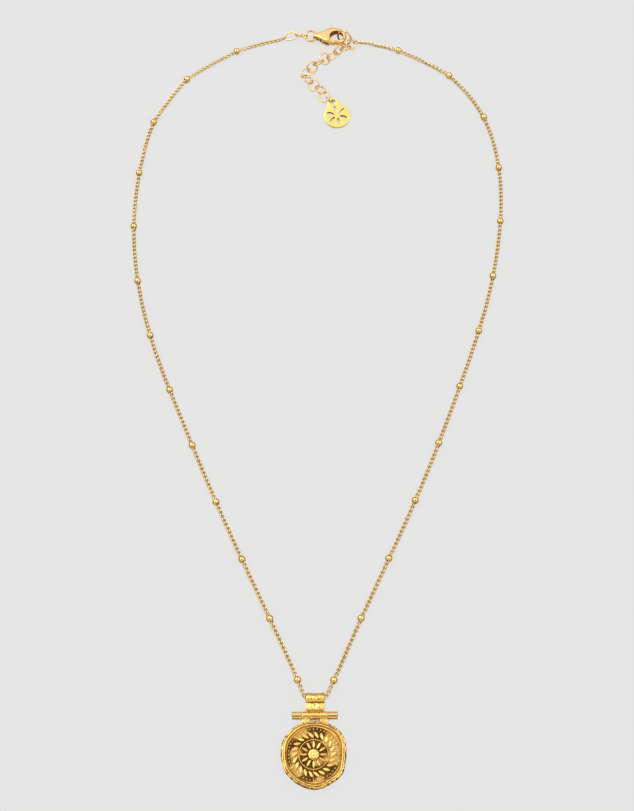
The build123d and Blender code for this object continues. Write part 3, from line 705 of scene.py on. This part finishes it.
def coin_body():
    """Vertices, faces and hollows of the coin without its lugs, in millimetres."""
    n = COIN_GRID
    unit_x, unit_y = disc_grid(n)
    share, angle = np.hypot(unit_x, unit_y), np.arctan2(unit_y, unit_x)
    reach = coin_reach(angle)
    x, y = reach * share * np.cos(angle), reach * share * np.sin(angle)
    inset = reach * (1 - share)
    flat = np.stack([x, y, np.zeros_like(x)], 1)
    rim = 1 - smooth_step(inset, RIM_WIDTH - RIM_SLOPE, RIM_WIDTH + RIM_SLOPE)
    relief = relief_height(x, y) * (1 - rim)
    worn = 0.85 + 0.15 * noise_at(flat, 1.6, 5)
    ground = (1 - rim) * np.clip(1 - relief * 3, 0, 1)
    pits = stipple(flat, PIT_SIZE)
    z = COIN_FIELD + RELIEF * relief * worn - ground * (GROUND_DEPTH + PIT_DEPTH * pits)
    uneven = 0.05 * noise_at(flat, 0.8, 9) + 0.03 * noise_at(flat, 0.3, 21)
    edge = np.clip(RIM_ROUND - inset, 0, RIM_ROUND)
    rounding = RIM_ROUND - np.sqrt(np.clip(RIM_ROUND**2 - edge**2, 0, None))
    z = z * (1 - rim) + rim * (COIN_THICKNESS - RIM_WEAR + uneven - rounding)
    z += 0.006 * noise_at(flat, 0.35, 33) * (1 - rim)
    moat = bell(inset - RIM_WIDTH - MOAT_STEP, MOAT_WIDTH)
    groove = bell(inset - RIM_GROOVE, RIM_GROOVE_WIDTH) * (0.75 + 0.5 * noise_at(flat, 1.1, 71))
    nicks = smooth_step(edge, 0.02, 0.12) * smooth_step(noise_at(flat, 0.6, 81), -0.02, 0.12)
    z -= MOAT_DEPTH * moat + RIM_GROOVE_DEPTH * groove + NICK_DEPTH * nicks
    stained = 0.45 + 0.55 * smooth_step(noise_at(flat, 3.2, 41), -0.25, 0.0)
    hollow = ground * (0.8 + 0.4 * pits) * stained + 0.6 * moat + 0.85 * groove + 0.9 * nicks
    top = np.stack([x + COIN_X, y + COIN_Y, z], 1)
    index = np.arange((n + 1) ** 2).reshape(n + 1, n + 1)
    corners = np.stack([index[:-1, :-1], index[:-1, 1:], index[1:, 1:], index[1:, :-1]], -1)
    faces = corners.reshape(-1, 4).tolist()
    edge_loop = np.concatenate([
        index[0, :-1], index[:-1, -1], index[-1, :0:-1], index[:0:-1, 0],
    ])
    verts, hollows = [top], [hollow]
    ring, first = edge_loop, len(top)
    edge_angle = angle[edge_loop]
    edge_reach = reach[edge_loop]
    edge_top = top[edge_loop, 2]
    for row in COIN_WALL:
        level, inward = row["level"], row["inward"]
        height = edge_top * level
        wall = np.stack([edge_reach * np.cos(edge_angle), edge_reach * np.sin(edge_angle),
                         height], 1)
        rough = WALL_ROUGH * noise_at(wall, 0.75, 51) + WALL_FINE_ROUGH * noise_at(wall, 0.3, 61)
        out = edge_reach - inward + rough * min(1, 4 * level)
        verts.append(np.stack([
            COIN_X + out * np.cos(edge_angle), COIN_Y + out * np.sin(edge_angle), height,
        ], 1))
        broken = smooth_step(noise_at(wall, 0.6, 91), -0.2, 0.1)
        hollows.append((0.35 + 0.65 * (inward > WALL_HOLLOW)) * broken)
        next_ring = np.arange(first, first + len(ring))
        faces += [
            (int(ring[i]), int(next_ring[i]), int(next_ring[(i + 1) % len(ring)]),
             int(ring[(i + 1) % len(ring)]))
            for i in range(len(ring))
        ]
        ring, first = next_ring, first + len(ring)
    verts.append(np.array([[COIN_X, COIN_Y, 0.0]]))
    hollows.append(np.zeros(1))
    faces += [
        (int(ring[i]), first, int(ring[(i + 1) % len(ring)])) for i in range(len(ring))
    ]
    return np.concatenate(verts), faces, np.concatenate(hollows)


def make_coin():
    verts, faces, hollow = coin_body()
    for start in LUG_STARTS:
        lug = lug_mesh(start)
        points = read_points(lug)
        first = len(verts)
        verts = np.concatenate([verts, points])
        faces += [tuple(first + i for i in p.vertices) for p in lug.polygons]
        hollow = np.concatenate([hollow, np.zeros(len(points))])
    mesh = bpy.data.meshes.new("coin_cast")
    mesh.from_pydata((verts * MM).tolist(), [], faces)
    set_hollow(mesh, hollow)
    return new_piece("coin_cast", mesh, "gold_cast", "pendant", "coin")


def make_polished(name, node, slot, body, softness, shade=None):
    """Polished copy of a node; shade gives how far each of its points is in a hollow."""
    mesh = softened(name, node_mesh(node), softness)
    points = read_points(mesh)
    points[:, 2] = np.maximum(points[:, 2], 0)
    write_points(mesh, points)
    if shade:
        set_hollow(mesh, shade(points, read_normals(mesh)))
    mesh.transform(Matrix.Scale(MM, 4))
    return new_piece(name, mesh, slot, body, node)


def clasp_shade(points, normals):
    """Painted shade on the walls of the hook's opening and of the lever's slot."""
    c, s = cos(CLASP_ANGLE), sin(CLASP_ANGLE)
    x, y = points[:, 0] - CLASP_TAIL[0], points[:, 1] - CLASP_TAIL[1]
    along, across = x * c + y * s, y * c - x * s
    opening = np.hypot((along - CLASP_OPENING[0]) / CLASP_OPENING_HALF[0],
                       (across - CLASP_OPENING[1]) / CLASP_OPENING_HALF[1])
    steep = smooth_step(1 - np.abs(normals[:, 2]), 0.35, 0.8)
    wall = steep * (1 - smooth_step(opening, 1.06, 1.16))
    inner = np.abs(points[:, 2] - CLASP_HEIGHT) < CLASP_SLOT / 2 + 0.06
    return 0.85 * wall + inner * smooth_step(np.abs(normals[:, 2]), 0.4, 0.8)


def tag_shade(points, normals):
    """Painted shade on the walls of the tag's piercing and of its eye."""
    middle = points.min(0)[:2] + TAG_RADIUS
    out = np.hypot(points[:, 0] - middle[0], points[:, 1] - middle[1])
    eye = np.hypot(points[:, 0] - middle[0] - TAG_EYE_STEP[0],
                   points[:, 1] - middle[1] - TAG_EYE_STEP[1])
    steep = smooth_step(1 - np.abs(normals[:, 2]), 0.2, 0.5)
    return steep * ((out < TAG_RADIUS - TAG_EDGE) | (eye < TAG_EYE_RADIUS + TAG_EYE_REACH))


# Stage

def make_camera():
    data = bpy.data.cameras.new("camera")
    data.sensor_width = SENSOR
    data.lens = SENSOR * FOCAL_PIXELS / PHOTO_HEIGHT
    data.clip_start, data.clip_end = 0.01, 20
    camera = bpy.data.objects.new("camera", data)
    bpy.context.scene.collection.objects.link(camera)
    turn = Matrix.Rotation(CAMERA_TURN_Y, 4, "Y") @ Matrix.Rotation(CAMERA_TURN_X, 4, "X")
    camera.matrix_world = Matrix.Translation(CAMERA_PLACE) @ turn
    bpy.context.scene.camera = camera


def make_floor():
    mesh = bpy.data.meshes.new("floor")
    reach, level = FLOOR_REACH, FLOOR_LEVEL
    corners = [(-reach, -reach), (reach, -reach), (reach, reach), (-reach, reach)]
    mesh.from_pydata([(x, y, level) for x, y in corners], [], [(0, 1, 2, 3)])
    floor = bpy.data.objects.new("floor", mesh)
    bpy.context.scene.collection.objects.link(floor)
    material = bpy.data.materials.new("pale_floor")
    material.use_nodes = True
    tree = material.node_tree
    in_gold = add_node(tree, "ShaderNodeLightPath").outputs["Is Glossy Ray"]
    # Painted shade: where ambient occlusion finds the floor shut in under the chain's links, its
    # glow gives way to a dark brown.
    openness = add_node(
        tree, "ShaderNodeAmbientOcclusion", {"Distance": HOLE_REACH}, samples=8,
    ).outputs["AO"]
    open_sky = add_node(
        tree, "ShaderNodeMapRange",
        {"Value": openness, "From Min": HOLE_CLOSED, "From Max": HOLE_OPEN},
    ).outputs["Result"]
    plain = add_node(
        tree, "ShaderNodeMix",
        {0: open_sky, 6: (*FLOOR_SHADE_IN_HOLES, 1), 7: (*[FLOOR_GLOW] * 3, 1)},
        data_type="RGBA",
    ).outputs[2]
    glow = add_node(
        tree, "ShaderNodeMix",
        {0: in_gold, 6: plain, 7: (*FLOOR_SEEN_IN_GOLD, 1)},
        data_type="RGBA",
    ).outputs[2]
    shader = tree.nodes["Principled BSDF"]
    shader.inputs["Base Color"].default_value = (*[FLOOR_TONE] * 3, 1)
    shader.inputs["Roughness"].default_value = 0.9
    shader.inputs["Specular IOR Level"].default_value = 0.0
    shader.inputs["Emission Strength"].default_value = 1.0
    tree.links.new(glow, shader.inputs["Emission Color"])
    mesh.materials.append(material)


def make_world():
    """A light tent: pale above, dim along the horizon and round the lens."""
    world = bpy.data.worlds.new("light_tent")
    bpy.context.scene.world = world
    world.use_nodes = True
    tree = world.node_tree
    tree.nodes.clear()
    direction = add_node(tree, "ShaderNodeTexCoord").outputs["Generated"]
    height = add_node(tree, "ShaderNodeSeparateXYZ", {0: direction}).outputs["Z"]
    dome_light = add_node(tree, "ShaderNodeValToRGB", {"Fac": height}).outputs["Color"]
    ramp = dome_light.node.color_ramp
    ramp.elements[0].position, ramp.elements[0].color = 0.0, HORIZON
    ramp.elements[1].position, ramp.elements[1].color = HIGH_SKY_HEIGHT, HIGH_SKY
    ramp.elements.new(LOW_SKY_HEIGHT).color = LOW_SKY
    lens = Vector(CAMERA_PLACE) - Vector(LENS_SEEN_FROM)
    toward = add_node(
        tree, "ShaderNodeVectorMath", {0: direction, 1: tuple(lens.normalized())},
        operation="DOT_PRODUCT",
    ).outputs["Value"]
    patch = add_node(
        tree, "ShaderNodeMapRange",
        {"Value": toward, "From Min": cos(radians(LENS_SHADE_EDGE)),
         "From Max": cos(radians(LENS_SHADE)), "To Min": 1.0,
         "To Max": LENS_SHADE_LEFT},
    ).outputs["Result"]
    seen = add_node(
        tree, "ShaderNodeVectorMath", {0: dome_light}, operation="SCALE",
    )
    tree.links.new(patch, seen.inputs["Scale"])
    light = add_node(
        tree, "ShaderNodeBackground", {"Color": seen.outputs["Vector"], "Strength": 1.0},
    ).outputs[0]
    plain = add_node(
        tree, "ShaderNodeBackground", {"Color": BACKDROP, "Strength": 1.0},
    ).outputs[0]
    is_camera = add_node(tree, "ShaderNodeLightPath").outputs["Is Camera Ray"]
    mixed = add_node(tree, "ShaderNodeMixShader", {0: is_camera, 1: light, 2: plain})
    output = add_node(tree, "ShaderNodeOutputWorld")
    tree.links.new(mixed.outputs[0], output.inputs["Surface"])


def make_light(name, place, size, power, colour):
    """Soft lamp that shines at the middle of the necklace."""
    data = bpy.data.lights.new(name, "AREA")
    data.shape = "RECTANGLE"
    data.size, data.size_y = size
    data.energy = power
    data.color = colour
    light = bpy.data.objects.new(name, data)
    bpy.context.scene.collection.objects.link(light)
    light.location = place
    light.rotation_mode = "QUATERNION"
    light.rotation_quaternion = (-Vector(place)).to_track_quat("-Z", "Y")


make_camera()
make_world()
make_floor()
make_light("key", place=(-0.5, 0.35, 0.8), size=(0.7, 0.7), power=4.0, colour=(1, 0.98, 0.95))
make_light("fill", place=(0.7, 0.1, 0.7), size=(0.6, 0.8), power=2.0, colour=(1, 1, 1))

make_chain()
make_bail()
make_coin()
make_polished(
    "clasp_body_smooth", "clasp_body", "gold_clasp", "necklace", CLASP_SOFTNESS, clasp_shade,
)
make_polished("clasp_lever_smooth", "clasp_lever", "gold_clasp", "lever", LEVER_SOFTNESS)
make_polished("tag_smooth", "tag", "gold_tag", "necklace", TAG_SOFTNESS, tag_shade)
shown_slots = {row["node"]: row["material_slot"] for row in frame["record"]["subparts"]}
for name, obj in nodes.items():
    dress(obj, shown_slots[name])

bpy.context.scene.view_settings.view_transform = "Standard"
